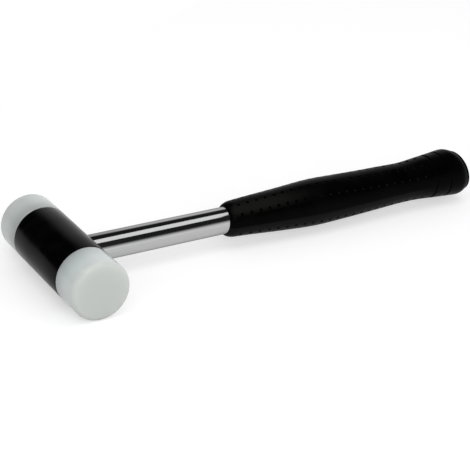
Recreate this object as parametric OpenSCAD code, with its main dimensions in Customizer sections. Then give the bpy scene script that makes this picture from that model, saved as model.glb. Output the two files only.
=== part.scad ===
// Soft face hammer: a turned steel head with two screwed nylon faces on a pinned tube handle.
// All sizes are in millimetres. Places along the handle are counted from the axis of the head.
// The hammer lies on its side: handle along X, head along Y, and +Z up from the surface below it.

/* [Head] */
// Diameter of the steel head and its faces
head_d = 35; // [32:0.5:45]
// Length of the steel head, without the faces
head_len = 57; // [50:0.5:80]
// Chamfer at each end of the steel head
head_edge = 0.5; // [0.2:0.1:1]
// Steel left between a stud hole and the handle socket
socket_wall = 1.7; // [1:0.1:4]
// How far the handle socket reaches past the axis of the head
socket_depth = 10; // [8:0.5:13]

/* [Faces] */
// Length of one nylon face
face_len = 21.5; // [17:0.5:35]
// Rounding of the striking edge
face_round = 2; // [0.5:0.1:3]
// Chamfer at the back edge of a face
face_edge = 0.4; // [0.2:0.1:1]

/* [Studs] */
// Thread diameter of the stud in each face
stud_d = 12; // [9:0.5:14]
// Thread pitch
thread_pitch = 1.75; // [1:0.25:2]
// Depth of the thread groove
thread_depth = 1.05; // [0.5:0.05:1.2]
// Length of the plain pilot at the tip of a stud
pilot_len = 1.2; // [0.8:0.1:2]
// How much smaller the pilot is than the bottom of the thread, on the radius
pilot_step = 0.1; // [0.05:0.05:0.5]
// Width across the flats of the anchor inside the nylon
anchor_w = 19; // [17:0.5:24]
// Thickness of the anchor
anchor_t = 7; // [4:0.5:9]
// Nylon between the back of a face and the anchor
anchor_cover = 4; // [2:0.5:6]
// Radial play of a stud in its hole
stud_play = 0.1; // [0.05:0.01:0.3]
// Room below the tip of a stud
tip_room = 0.8; // [0.3:0.1:1.5]

/* [Lock washers] */
// Outer diameter of a spring washer
washer_d = 21; // [18:0.5:25]
// Thickness of a spring washer pressed flat
washer_t = 2.5; // [1.5:0.1:3]
// Width of the slanted slit
washer_slit = 1.2; // [0.6:0.1:2.5]
// Slant of the slit from the axis of the washer
slit_slant = 25; // [0:1:35]
// Radial play of a washer around the stud
washer_play = 0.15; // [0.1:0.01:0.3]
// Room around a washer in its recess
recess_room = 0.3; // [0.2:0.05:0.6]
// Room below a washer in its recess
recess_floor = 0.1; // [0.05:0.01:0.3]

/* [Handle tube] */
// Outer diameter of the tube
tube_d = 16.4; // [14:0.1:18]
// Wall of the tube
tube_wall = 1.6; // [1:0.1:2.5]
// Bare length of tube between the head and the grip
bare_len = 88; // [60:0.5:120]
// Length of the solid core in the head end of the tube
core_len = 40; // [24:1:60]
// Diameter of the spring pin
pin_d = 5; // [4:0.5:6]
// Wall of the spring pin
pin_wall = 1; // [0.6:0.1:1.3]
// Slot along the spring pin
pin_slot = 1.2; // [0.8:0.1:2]
// Length of the plug in the rear end of the tube
plug_len = 16; // [8:1:30]
// Thickness of the flange on the plug
plug_flange = 2; // [1:0.1:3]
// Gap between pieces that are pressed or moulded together
seat_gap = 0.02; // [0.01:0.01:0.05]

/* [Grip] */
// Wall of the grip over the tube at the mouth
mouth_wall = 2.3; // [2:0.1:4]
// Rounding of the mouth
mouth_round = 2; // [0.5:0.1:2]
// Wall of the grip over the tube where the tapers of the belly meet
belly_wall = 6.4; // [5:0.1:9]
// Wall of the grip over the tube where the tapers of the waist meet
waist_wall = 4.15; // [3:0.05:5]
// Wall of the grip over the tube where the flare meets the shoulder
flare_wall = 7.7; // [6:0.1:10]
// Length from the mouth to the belly
front_taper = 62.5; // [50:0.5:80]
// Length from the belly to the waist
rear_taper = 72; // [50:0.5:90]
// Length from the waist to the flare
flare_taper = 37; // [32:0.5:50]
// Length from the flare to the end disc
shoulder_len = 5.6; // [4:0.1:8]
// Length of the blend on each side of the belly
belly_blend = 9; // [3:0.5:15]
// Length of the blend on each side of the waist
waist_blend = 8; // [3:0.5:10]
// Length of the blend on each side of the flare
flare_blend = 4.6; // [2:0.1:5]
// How far the end disc stands in from the flare, on the radius
disc_inset = 3.1; // [2:0.1:5]
// Height of the straight edge of the end disc
disc_edge = 0.8; // [0.4:0.1:1.5]
// Rise of the dome above the edge of the end disc
dome_rise = 2.1; // [1:0.1:4]
// Thickness of the closed end behind the plug
end_wall = 12.5; // [6:0.5:16]
// Distance from the flare to the last ring groove
groove_back = 10; // [7:0.5:12]
// Distance from one ring groove to the next
groove_step = 9.9; // [7:0.1:12]
// Radius of a ring groove
groove_r = 0.8; // [0.4:0.1:1.2]
// Depth of a ring groove
groove_depth = 0.55; // [0.2:0.05:0.8]

/* [Hidden] */

$fn = 96;
thread_sides = 20;
slices_per_turn = 8;
arc_steps = 8;
groove_sides = 24;
groove_count = 2;
beyond = 1;

head_r = head_d / 2;
head_half = head_len / 2;
stud_r = stud_d / 2;
tube_r = tube_d / 2;
bore_r = tube_r - tube_wall;
washer_r = washer_d / 2;

recess_depth = washer_t + recess_floor;
hole_depth = head_half - tube_r - socket_wall;
thread_len = hole_depth - recess_depth - pilot_len - tip_room;
thread_turns = thread_len / thread_pitch;
pilot_r = stud_r - thread_depth - pilot_step;
pin_len = 2 * (tube_r + socket_wall);

mouth_at = head_r + bare_len;
belly_at = mouth_at + front_taper;
waist_at = belly_at + rear_taper;
flare_at = waist_at + flare_taper;
disc_at = flare_at + shoulder_len;
grip_end = disc_at + disc_edge + dome_rise;
grip_floor = grip_end - end_wall;
tube_end = grip_floor - seat_gap - plug_flange;

waist_r = tube_r + waist_wall;
flare_r = tube_r + flare_wall;
disc_r = flare_r - disc_inset;
dome_r = (disc_r * disc_r + dome_rise * dome_rise) / (2 * dome_rise);
mid_x = (grip_end - head_r) / 2;

steel_black = [0.05, 0.05, 0.05];
steel_bright = [0.6, 0.6, 0.62];
steel_dark = [0.42, 0.42, 0.44];
nylon_white = [0.82, 0.83, 0.8];
chrome_plate = [0.8, 0.8, 0.82];
vinyl_black = [0.08, 0.08, 0.08];
plug_black = [0.15, 0.15, 0.15];

// Points of the arc that rounds the corner b between a and c, from reach before it to reach behind it
function corner(a, b, c, reach) =
    let (u = (a - b) / norm(a - b),
         v = (c - b) / norm(c - b),
         half = acos(u * v) / 2,
         r = reach * tan(half),
         centre = b + (u + v) / norm(u + v) * (r / sin(half)),
         first = b + u * reach - centre,
         turn = (2 * half - 180) * sign(cross(u, v)),
         start = atan2(first[1], first[0]))
    [for (i = [0:arc_steps])
        let (angle = start + turn * i / arc_steps)
        centre + r * [cos(angle), sin(angle)]];

// Radius of the straight taper of the flare at a place along the handle
function flare_radius(x) = waist_r + (flare_r - waist_r) * (x - waist_at) / flare_taper;

// Outline of the grip from its mouth to the middle of its dome, as radius and place along the handle
function grip_outline() =
    let (lip = [tube_r + mouth_wall, mouth_at],
         belly = [tube_r + belly_wall, belly_at],
         waist = [waist_r, waist_at],
         flare = [flare_r, flare_at],
         disc = [disc_r, disc_at],
         dome_angle = asin(disc_r / dome_r))
    concat(
        [[0, mouth_at]],
        corner([0, mouth_at], lip, belly, mouth_round),
        corner(lip, belly, waist, belly_blend),
        corner(belly, waist, flare, waist_blend),
        corner(waist, flare, disc, flare_blend),
        [disc],
        [for (i = [0:arc_steps])
            let (angle = dome_angle * (1 - i / arc_steps))
            [dome_r * sin(angle), grip_end - dome_r * (1 - cos(angle))]]);

// Puts the origin under the middle of the hammer, on the surface that it lies on
module lying() {
    translate([-mid_x, 0, head_r]) children();
}

// Lays a piece that is built along +Z along the handle
module along_handle() {
    lying() rotate([0, 90, 0]) children();
}

// Points a piece that is built outwards along +Z to the front
module to_front() {
    lying() rotate([90, 0, 0]) children();
}

// Points a piece that is built outwards along +Z to the rear
module to_rear() {
    lying() rotate([-90, 0, 0]) children();
}

// Hexagonal anchor that holds a stud in the nylon, at its place along the head
module anchor(gap) {
    translate([0, 0, head_half + anchor_cover - gap])
        cylinder(d = (anchor_w + 2 * gap) / cos(30), h = anchor_t + 2 * gap, $fn = 6);
}

// Nylon face from its back to its striking face, moulded around the anchor
module face() {
    back = head_half;
    front = head_half + face_len;
    difference() {
        rotate_extrude()
            polygon(concat(
                [[0, back], [head_r - face_edge, back], [head_r, back + face_edge]],
                corner([head_r, back], [head_r, front], [0, front], face_round),
                [[0, front]]));
        anchor(seat_gap);
        translate([0, 0, back - beyond])
            cylinder(r = stud_r + seat_gap, h = anchor_cover + anchor_t / 2 + beyond);
    }
}

// Steel stud: anchor, plain shank through the washer, right-hand thread and pilot
module stud() {
    thread_top = head_half - recess_depth;
    anchor(0);
    translate([0, 0, thread_top])
        cylinder(r = stud_r, h = recess_depth + anchor_cover + anchor_t / 2);
    translate([0, 0, thread_top - thread_len])
        linear_extrude(height = thread_len, twist = -360 * thread_turns,
                       slices = ceil(thread_turns * slices_per_turn), $fn = thread_sides)
            translate([thread_depth / 2, 0])
                circle(r = stud_r - thread_depth / 2);
    translate([0, 0, thread_top - thread_len - pilot_len])
        cylinder(r = pilot_r, h = pilot_len);
}

// Split spring washer, pressed flat under a face
module lock_washer() {
    translate([0, 0, head_half - washer_t])
        difference() {
            cylinder(r = washer_r, h = washer_t);
            translate([0, 0, -beyond])
                cylinder(r = stud_r + washer_play, h = washer_t + 2 * beyond);
            translate([washer_r / 2, 0, washer_t / 2])
                rotate([slit_slant, 0, 0])
                    cube([washer_r + 2 * beyond, washer_slit, 4 * washer_t], center = true);
        }
}

// Hole for a stud and recess for its washer, as cut into one end of the head
module stud_hole() {
    translate([0, 0, head_half - hole_depth])
        cylinder(r = stud_r + stud_play, h = hole_depth + beyond);
    translate([0, 0, head_half - recess_depth])
        cylinder(r = washer_r + recess_room, h = recess_depth + beyond);
}

// Hole for the spring pin through the head, the tube and the core
module pin_hole() {
    rotate([90, 0, 0])
        cylinder(d = pin_d + 2 * seat_gap, h = head_len, center = true);
}

// Turned head with its blind socket for the tube and a stud hole at each end
module head_body() {
    color(steel_black)
        lying()
            difference() {
                rotate([90, 0, 0])
                    rotate_extrude()
                        polygon([[0, -head_half], [head_r - head_edge, -head_half],
                                 [head_r, head_edge - head_half], [head_r, head_half - head_edge],
                                 [head_r - head_edge, head_half], [0, head_half]]);
                translate([-socket_depth - seat_gap, 0, 0])
                    rotate([0, 90, 0])
                        cylinder(r = tube_r + seat_gap, h = socket_depth + head_r + beyond);
                rotate([90, 0, 0]) stud_hole();
                rotate([-90, 0, 0]) stud_hole();
                pin_hole();
            }
}

module front_face() {
    color(nylon_white) to_front() face();
}

module front_stud() {
    color(steel_bright) to_front() stud();
}

module front_lock_washer() {
    color(steel_dark) to_front() lock_washer();
}

module rear_face() {
    color(nylon_white) to_rear() face();
}

module rear_stud() {
    color(steel_bright) to_rear() stud();
}

module rear_lock_washer() {
    color(steel_dark) to_rear() lock_washer();
}

// Plated tube from the bottom of the socket to the plug
module handle_tube() {
    tube_len = socket_depth + tube_end;
    color(chrome_plate)
        lying()
            difference() {
                translate([-socket_depth, 0, 0])
                    rotate([0, 90, 0])
                        difference() {
                            cylinder(r = tube_r, h = tube_len);
                            translate([0, 0, -beyond])
                                cylinder(r = bore_r, h = tube_len + 2 * beyond);
                        }
                pin_hole();
            }
}

// Solid core that backs the tube where it is pressed and pinned
module tube_core() {
    color(steel_bright)
        lying()
            difference() {
                translate([-socket_depth, 0, 0])
                    rotate([0, 90, 0])
                        cylinder(r = bore_r - seat_gap, h = core_len);
                pin_hole();
            }
}

// Slotted spring pin through the head, the tube and the core
module handle_pin() {
    color(steel_dark)
        lying()
            rotate([90, 0, 0])
                difference() {
                    cylinder(d = pin_d, h = pin_len, center = true);
                    cylinder(d = pin_d - 2 * pin_wall, h = pin_len + 2 * beyond, center = true);
                    translate([pin_d / 2, 0, 0])
                        cube([pin_d, pin_slot, pin_len + 2 * beyond], center = true);
                }
}

// Soft grip with its tube bore, two ring grooves and a domed end
module grip() {
    color(vinyl_black)
        along_handle()
            difference() {
                rotate_extrude() polygon(grip_outline());
                translate([0, 0, mouth_at - beyond])
                    cylinder(r = tube_r + seat_gap, h = grip_floor - mouth_at + beyond);
                for (i = [0:groove_count - 1])
                    let (x = flare_at - groove_back - i * groove_step)
                    rotate_extrude()
                        translate([flare_radius(x) + groove_r - groove_depth, x])
                            circle(r = groove_r, $fn = groove_sides);
            }
}

// Flanged plug that closes the tube inside the grip
module tube_plug() {
    color(plug_black)
        along_handle() {
            translate([0, 0, tube_end - plug_len])
                cylinder(r = bore_r - seat_gap, h = plug_len + plug_flange / 2);
            translate([0, 0, tube_end])
                cylinder(r = tube_r, h = plug_flange);
        }
}

head_body();
front_face();
front_stud();
front_lock_washer();
rear_face();
rear_stud();
rear_lock_washer();
handle_tube();
tube_core();
handle_pin();
grip();
tube_plug();
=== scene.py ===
"""Looks of a soft face hammer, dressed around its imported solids.

The hammer lies on its side: handle along X, head along Y and +Z up. Blender works in metres, so a size in
millimetres is written as a number times MM. Places along the handle are counted from the axis of the head.
"""

import logging
import math
from dataclasses import dataclass
from enum import Enum
from functools import reduce
from typing import Optional, Sequence

import bmesh
import bpy
from bmesh.types import BMEdge, BMesh, BMFace, BMVert
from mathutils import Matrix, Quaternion, Vector


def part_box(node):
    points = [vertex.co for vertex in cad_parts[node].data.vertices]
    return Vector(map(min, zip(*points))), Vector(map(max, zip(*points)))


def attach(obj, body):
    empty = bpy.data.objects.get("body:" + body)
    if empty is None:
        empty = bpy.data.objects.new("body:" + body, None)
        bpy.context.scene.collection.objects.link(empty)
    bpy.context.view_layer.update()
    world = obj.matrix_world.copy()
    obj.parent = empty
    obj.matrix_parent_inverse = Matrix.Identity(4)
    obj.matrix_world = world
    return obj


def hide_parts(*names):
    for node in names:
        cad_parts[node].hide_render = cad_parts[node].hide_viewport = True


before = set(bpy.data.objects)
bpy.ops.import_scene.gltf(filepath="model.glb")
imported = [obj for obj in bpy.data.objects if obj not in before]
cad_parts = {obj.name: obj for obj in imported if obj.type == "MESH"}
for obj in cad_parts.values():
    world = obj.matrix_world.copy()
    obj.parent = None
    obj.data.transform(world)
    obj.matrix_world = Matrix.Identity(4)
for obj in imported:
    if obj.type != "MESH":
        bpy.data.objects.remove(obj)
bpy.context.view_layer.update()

Colour = tuple[float, float, float]
Range = tuple[float, float]
Socket = bpy.types.NodeSocket

MM = 0.001
MERGE_GAP = 0.001 * MM
SEAT_GAP = 0.02 * MM
RECESS_DEPTH = 2.6 * MM
SHARP_ANGLE = 40.0
SMOOTH_SIDES = 160
CLOUD_RANGE: Range = (0.3, 0.7)
STAIN_RANGE: Range = (0.35, 0.7)
PIT_MARK = "pit"
LOG = logging.getLogger("hammer")


class Body(Enum):
    """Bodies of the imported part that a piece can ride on."""

    HAMMER = "hammer"
    FRONT_WASHER = "front_washer"
    FRONT_SCREW_FACE = "front_screw_face"
    REAR_WASHER = "rear_washer"
    REAR_SCREW_FACE = "rear_screw_face"


class Slot(Enum):
    """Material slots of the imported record."""

    HEAD_BLACK = "head_black"
    NYLON = "nylon"
    STUD_STEEL = "stud_steel"
    WASHER_STEEL = "washer_steel"
    CORE_STEEL = "core_steel"
    PIN_STEEL = "pin_steel"
    TUBE_CHROME = "tube_chrome"
    GRIP_VINYL = "grip_vinyl"
    PLUG_PLASTIC = "plug_plastic"


class End(Enum):
    """The two ends of the head, with the way each of them points along Y."""

    FRONT = -1.0
    REAR = 1.0

    @property
    def label(self) -> str:
        """Word that the names of this end's nodes start with."""
        return self.name.lower()


@dataclass(frozen=True)
class Axle:
    """Line that round pieces are turned about.

    A place is counted along it from its origin, and a turn about it from its side towards its lift.
    """

    origin: Vector
    along: Vector
    side: Vector
    lift: Vector

    def point(self, place: float, radius: float = 0.0, turn: float = 0.0) -> Vector:
        """Point at a place along the line and a radius out from it.

        Args:
            place: Distance along the line from its origin.
            radius: Distance from the line.
            turn: Angle from the side towards the lift, in radians.

        Returns:
            The point in the frame of the part.
        """
        out = self.side * math.cos(turn) + self.lift * math.sin(turn)
        return self.origin + self.along * place + out * radius

    def place_of(self, point: Vector) -> float:
        """Place along the line of a point."""
        return (point - self.origin).dot(self.along)

    def turn_of(self, point: Vector) -> float:
        """Turn about the line of a point, in radians."""
        offset = point - self.origin
        return math.atan2(offset.dot(self.lift), offset.dot(self.side))


@dataclass(frozen=True)
class Knot:
    """Corner of an outline that is turned about an axle.

    Attributes:
        place: Distance along the axle.
        radius: Distance from the axle.
        reach: Length of each edge that the rounding of the corner takes up.
        steps: Straight pieces that the rounding is made of.
    """

    place: float
    radius: float
    reach: float = 0.0
    steps: int = 2


class Turning:
    """Mesh that is turned from an outline, as on a lathe."""

    def __init__(self, axle: Axle, sides: int = 96) -> None:
        """Starts an empty mesh.

        Args:
            axle: Line that outlines are turned about.
            sides: Faces around a full turn.
        """
        self.axle = axle
        self.sides = sides
        self.mesh: BMesh = bmesh.new()

    def wire(self, knots: Sequence[Knot], closed: bool = False) -> list[BMEdge]:
        """Draws an outline and rounds its corners.

        Args:
            knots: Corners in order.
            closed: Whether the last corner joins the first.

        Returns:
            The edges of the outline.
        """
        before = set(self.mesh.edges)
        corners = [self.mesh.verts.new(self.axle.point(k.place, k.radius)) for k in knots]
        ends = corners[1:] + corners[:1] if closed else corners[1:]
        for start, end in zip(corners, ends):
            self.mesh.edges.new((start, end))
        for corner, knot in zip(corners, knots):
            if knot.reach > 0.0:
                bmesh.ops.bevel(self.mesh, geom=[corner], offset=knot.reach, offset_type="OFFSET",
                                segments=knot.steps, profile=0.5, affect="VERTICES", material=-1)
        return [edge for edge in self.mesh.edges if edge not in before]

    def turn(self, knots: Sequence[Knot], closed: bool = False) -> None:
        """Turns an outline into a closed round shape.

        Args:
            knots: Corners of the outline. An open outline starts and ends on the axle.
            closed: Whether the outline is a ring that stays clear of the axle.
        """
        edges = self.wire(knots, closed)
        corners = list({vert for edge in edges for vert in edge.verts})
        bmesh.ops.spin(self.mesh, geom=corners + edges, cent=self.axle.origin, axis=self.axle.along,
                       angle=math.tau, steps=self.sides, use_merge=True, use_duplicate=False)
        bmesh.ops.remove_doubles(self.mesh, verts=self.mesh.verts[:], dist=MERGE_GAP)
        bmesh.ops.recalc_face_normals(self.mesh, faces=self.mesh.faces[:])

    def finished(self, name: str, sharp_angle: float = SHARP_ANGLE) -> bpy.types.Object:
        """Makes the mesh an object, with its place in its mesh."""
        return object_from(self.mesh, name, sharp_angle)


def object_from(mesh: BMesh, name: str, sharp_angle: float = SHARP_ANGLE) -> bpy.types.Object:
    """Makes a bmesh an object in the scene and frees the bmesh.

    Args:
        mesh: The finished bmesh.
        name: Name of the object.
        sharp_angle: Angle between faces, in degrees, past which their edge stays sharp.

    Returns:
        The smooth shaded object.
    """
    data = bpy.data.meshes.new(name)
    mesh.to_mesh(data)
    mesh.free()
    data.shade_smooth()
    data.set_sharp_from_angle(angle=math.radians(sharp_angle))
    piece = bpy.data.objects.new(name, data)
    bpy.context.scene.collection.objects.link(piece)
    return piece


def smooth_step(value: float, low: float, high: float) -> float:
    """Share from 0 at low to 1 at high that starts and ends softly."""
    share = min(1.0, max(0.0, (value - low) / (high - low)))
    return share * share * (3.0 - 2.0 * share)


class Bench:
    """Node tree with short calls for the nodes that finishes and the studio share."""

    def __init__(self, tree: bpy.types.NodeTree) -> None:
        """Empties a node tree.

        Args:
            tree: Tree of a material or of the world.
        """
        self.tree = tree
        self.tree.nodes.clear()
        self.coordinates = self.tree.nodes.new("ShaderNodeTexCoord").outputs

    def node(self, kind: str, inputs: dict[str, object], **settings: object) -> bpy.types.Node:
        """Adds a node.

        Args:
            kind: Type of the node.
            inputs: Input names or numbers, with a value or an output to link.
            settings: Properties of the node.

        Returns:
            The node.
        """
        made = self.tree.nodes.new(kind)
        for name, value in settings.items():
            setattr(made, name, value)
        for key, value in inputs.items():
            if isinstance(value, Socket):
                self.tree.links.new(value, made.inputs[key])
            else:
                made.inputs[key].default_value = value
        return made

    def placed(self, centre: Vector, stretch: Vector = Vector((1.0, 1.0, 1.0))) -> Socket:
        """Object coordinates counted from a centre and stretched."""
        inputs = {"Vector": self.coordinates["Object"], "Location": -centre}
        return self.vector("MULTIPLY", self.node("ShaderNodeMapping", inputs).outputs[0], stretch)

    def noise(self, scale: float, detail: float = 2.0, spot: Optional[Socket] = None) -> Socket:
        """Soft noise.

        Args:
            scale: Waves per metre.
            detail: Octaves.
            spot: Coordinates, or None for the object's own.

        Returns:
            The noise, about 0 to 1.
        """
        inputs = {"Vector": spot or self.coordinates["Object"], "Scale": scale, "Detail": detail}
        return self.node("ShaderNodeTexNoise", inputs).outputs[0]

    def spread(self, value: Socket, low: float, high: float, to_low: float, to_high: float) -> Socket:
        """Maps a value's range to another, softly at both ends, and holds it there."""
        inputs = {"Value": value, "From Min": low, "From Max": high, "To Min": to_low, "To Max": to_high}
        return self.node("ShaderNodeMapRange", inputs, interpolation_type="SMOOTHSTEP").outputs[0]

    def math(self, operation: str, first: object, second: object = 0.0) -> Socket:
        """Result of a sum on one or two values."""
        return self.node("ShaderNodeMath", {0: first, 1: second}, operation=operation).outputs[0]

    def product(self, *values: object) -> Socket:
        """Product of several values."""
        return reduce(lambda first, second: self.math("MULTIPLY", first, second), values)

    def rest_of(self, share: Socket) -> Socket:
        """What a share leaves of 1."""
        return self.math("SUBTRACT", 1.0, share)

    def vector(self, operation: str, first: Socket, second: Sequence[float] = (0.0, 0.0, 0.0)) -> Socket:
        """Result of a sum on one or two vectors: a number for a length or a dot product, or else a vector."""
        made = self.node("ShaderNodeVectorMath", {0: first, 1: second}, operation=operation)
        return made.outputs["Value" if operation in ("LENGTH", "DOT_PRODUCT") else "Vector"]

    def parts(self, vector: Socket) -> Sequence[Socket]:
        """The X, Y and Z of a vector."""
        return self.node("ShaderNodeSeparateXYZ", {0: vector}).outputs

    def seen(self) -> Socket:
        """Tells what the camera looks at, also by way of a mirror or glass.

        Returns:
            1 on such rays and 0 on others.
        """
        path = self.node("ShaderNodeLightPath", {}).outputs
        direct = self.math("MAXIMUM", path["Is Camera Ray"], path["Is Glossy Ray"])
        return self.math("MAXIMUM", direct, path["Is Transmission Ray"])

    def blend(self, share: Socket, first: object, second: object) -> Socket:
        """Colour between two colours.

        Args:
            share: 0 for the first colour and 1 for the second.
            first: Colour, or an output to link.
            second: Colour, or an output to link.

        Returns:
            The blended colour.
        """
        colours = [(*c, 1.0) if isinstance(c, tuple) else c for c in (first, second)]
        made = self.node("ShaderNodeMix", {0: share, 6: colours[0], 7: colours[1]}, data_type="RGBA")
        return made.outputs[2]

    def bump(self, height: Socket, depth: float, under: Optional[Socket] = None) -> Socket:
        """Bump of a height.

        Args:
            height: The height, about 0 to 1.
            depth: Distance that a height of 1 stands for.
            under: Normal of a coarser bump below this one.

        Returns:
            The bumped normal.
        """
        inputs = {"Height": height, "Distance": depth, "Strength": 1.0}
        if under is not None:
            inputs["Normal"] = under
        return self.node("ShaderNodeBump", inputs).outputs[0]


class Recipe(Bench):
    """Node tree of one finish, with a Principled shader on its output."""

    def __init__(self, name: str) -> None:
        """Starts a material.

        Args:
            name: Name of the material.
        """
        self.material = bpy.data.materials.new(name)
        self.material.use_nodes = True
        super().__init__(self.material.node_tree)
        self.shader = self.tree.nodes.new("ShaderNodeBsdfPrincipled")
        self.node("ShaderNodeOutputMaterial", {"Surface": self.shader.outputs["BSDF"]})

    def set(self, **values: object) -> None:
        """Sets sockets of the shader: a number or colour directly, a node's output as a link.

        Args:
            values: Socket names in lower case with underscores, and their values.
        """
        for name, value in values.items():
            socket = self.shader.inputs[name.replace("_", " ").title().replace("Ior", "IOR")]
            if isinstance(value, Socket):
                self.tree.links.new(value, socket)
            elif isinstance(value, tuple) and socket.type == "RGBA":
                socket.default_value = (*value, 1.0)
            else:
                socket.default_value = value

    def rough(self, cloud: Socket, middle: float, swing: Range) -> Socket:
        """Roughness that follows a noise, from below its middle value to above it."""
        return self.spread(cloud, *CLOUD_RANGE, middle - swing[0], middle + swing[1])

    def stained(self, cloud: Socket, colour: Colour, stain: Colour, within: Range = STAIN_RANGE) -> Socket:
        """Colour that turns into a stain as a noise rises through a range."""
        return self.blend(self.spread(cloud, *within, 0.0, 1.0), colour, stain)


@dataclass(frozen=True)
class BlackPaint:
    """Semi-gloss black paint on turned steel, with the faint peel of sprayed paint."""

    colour: Colour = (0.0008, 0.0008, 0.0009)
    worn_colour: Colour = (0.002, 0.002, 0.0021)
    worn_range: Range = (0.35, 0.75)
    cloud_per_metre: float = 140.0
    specular: float = 0.033
    roughness: float = 0.2
    roughness_swing: Range = (0.04, 0.04)
    peel_per_metre: float = 900.0
    peel_depth: float = 0.004 * MM

    def made(self) -> bpy.types.Material:
        """Makes the material.

        Returns:
            The paint of the head.
        """
        recipe = Recipe("black_paint")
        cloud = recipe.noise(self.cloud_per_metre, detail=3.0)
        recipe.set(
            base_color=recipe.stained(cloud, self.colour, self.worn_colour, self.worn_range),
            roughness=recipe.rough(cloud, self.roughness, self.roughness_swing),
            normal=recipe.bump(recipe.noise(self.peel_per_metre, detail=1.0), self.peel_depth),
            specular_ior_level=self.specular,
        )
        return recipe.material


@dataclass(frozen=True)
class MilkyNylon:
    """Cast white nylon: light goes a little way in. Its side has a painted cool tint for how light falls on
    it, and painted shade darkens it towards the joint, on the rear face and on the rim.

    Attributes:
        axis: Middle of the head.
        joint_at: Distance of the joint with the head from there.
        strike_at: Distance of the striking end from there.
        radius: Radius of the faces.
    """

    axis: Vector
    joint_at: float
    strike_at: float
    radius: float
    colour: Colour = (0.63, 0.656, 0.635)
    # painted light tints: the side's cooler tint and the rear side's own tint stand in for how light falls on
    # the sides of the faces
    side_painted_tint: Colour = (0.628, 0.676, 0.679)
    rear_side_painted_tint: Colour = (0.636, 0.676, 0.662)
    strike_reach: float = 8.0 * MM
    # painted shade: the nylon darkens towards the joint with the head, over the rear face and on the rim of
    # the striking end
    joint_shade: float = 0.7
    joint_reach: float = 18.0 * MM
    rear_shade: float = 0.93
    rim_shade: float = 0.93
    rim_width: float = 3.0 * MM
    rim_full: float = 0.9 * MM
    cloud_shade: float = 0.995
    cloud_per_metre: float = 75.0
    specular: float = 0.28
    roughness: float = 0.2
    roughness_swing: Range = (0.015, 0.015)
    ring_pitch: float = 0.55 * MM
    ring_depth: float = 0.005 * MM
    grain_per_metre: float = 1500.0
    grain_depth: float = 0.006 * MM
    milk: float = 0.9
    milk_depth: float = 10.0 * MM
    milk_tint: Colour = (1.0, 0.97, 0.9)

    def shade(self, recipe: Recipe, place: Socket, radius: Socket, cloud: Socket) -> Socket:
        """How light the nylon is: painted shade by the joint, on the rear face and on the rim, and a faint
        random tone in clouds.

        Args:
            recipe: Node tree of the finish.
            place: Distance along the head from its middle.
            radius: Distance from the axis of the head.
            cloud: Soft noise.

        Returns:
            A share of the full colour.
        """
        along = recipe.math("ABSOLUTE", place)
        # painted shade towards the joint, over the rear face and on the rim; only the clouds are the nylon's
        # own tone
        near = recipe.spread(along, self.joint_at, self.joint_at + self.joint_reach, 1.0, 0.0)
        joint = recipe.product(near, near, 1.0 - self.joint_shade)
        rear = recipe.spread(place, -self.joint_at, self.joint_at, 1.0, self.rear_shade)
        outer = recipe.spread(radius, self.radius - self.rim_width, self.radius - self.rim_full, 0.0, 1.0)
        edge = recipe.spread(along, self.strike_at - self.rim_width, self.strike_at - self.rim_full, 0.0, 1.0)
        rim = recipe.product(outer, edge, 1.0 - self.rim_shade)
        clouds = recipe.spread(cloud, *CLOUD_RANGE, self.cloud_shade, 1.0)
        return recipe.product(recipe.rest_of(joint), rear, recipe.rest_of(rim), clouds)

    def tint(self, recipe: Recipe, place: Socket) -> Socket:
        """Colour of the nylon before its painted shade: a painted cooler tint on the side than on the
        striking end, and a painted tint of its own on the rear face's side, for how light falls there.

        Args:
            recipe: Node tree of the finish.
            place: Distance along the head from its middle.

        Returns:
            The colour.
        """
        rear = recipe.spread(place, -self.joint_at, self.joint_at, 0.0, 1.0)
        along = recipe.math("ABSOLUTE", place)
        end = recipe.spread(along, self.strike_at - self.strike_reach, self.strike_at, 0.0, 1.0)
        return recipe.blend(end, recipe.blend(rear, self.side_painted_tint, self.rear_side_painted_tint), self.colour)

    def made(self) -> bpy.types.Material:
        """Makes the material.

        Returns:
            The nylon of both faces, with faint rings from the lathe.
        """
        recipe = Recipe("milky_nylon")
        spot = recipe.placed(self.axis)
        place = recipe.parts(spot)[1]
        radius = recipe.vector("LENGTH", recipe.vector("MULTIPLY", spot, (1.0, 0.0, 1.0)))
        rings = recipe.math("SINE", recipe.product(radius, math.tau / self.ring_pitch))
        cloud = recipe.noise(self.cloud_per_metre, detail=4.0)
        inputs = {0: self.tint(recipe, place), "Scale": self.shade(recipe, place, radius, cloud)}
        turned = recipe.bump(rings, self.ring_depth)
        recipe.set(
            base_color=recipe.node("ShaderNodeVectorMath", inputs, operation="SCALE").outputs[0],
            roughness=recipe.rough(cloud, self.roughness, self.roughness_swing),
            normal=recipe.bump(recipe.noise(self.grain_per_metre), self.grain_depth, turned),
            specular_ior_level=self.specular,
            subsurface_weight=self.milk,
            subsurface_radius=self.milk_tint,
            subsurface_scale=self.milk_depth,
        )
        return recipe.material


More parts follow.
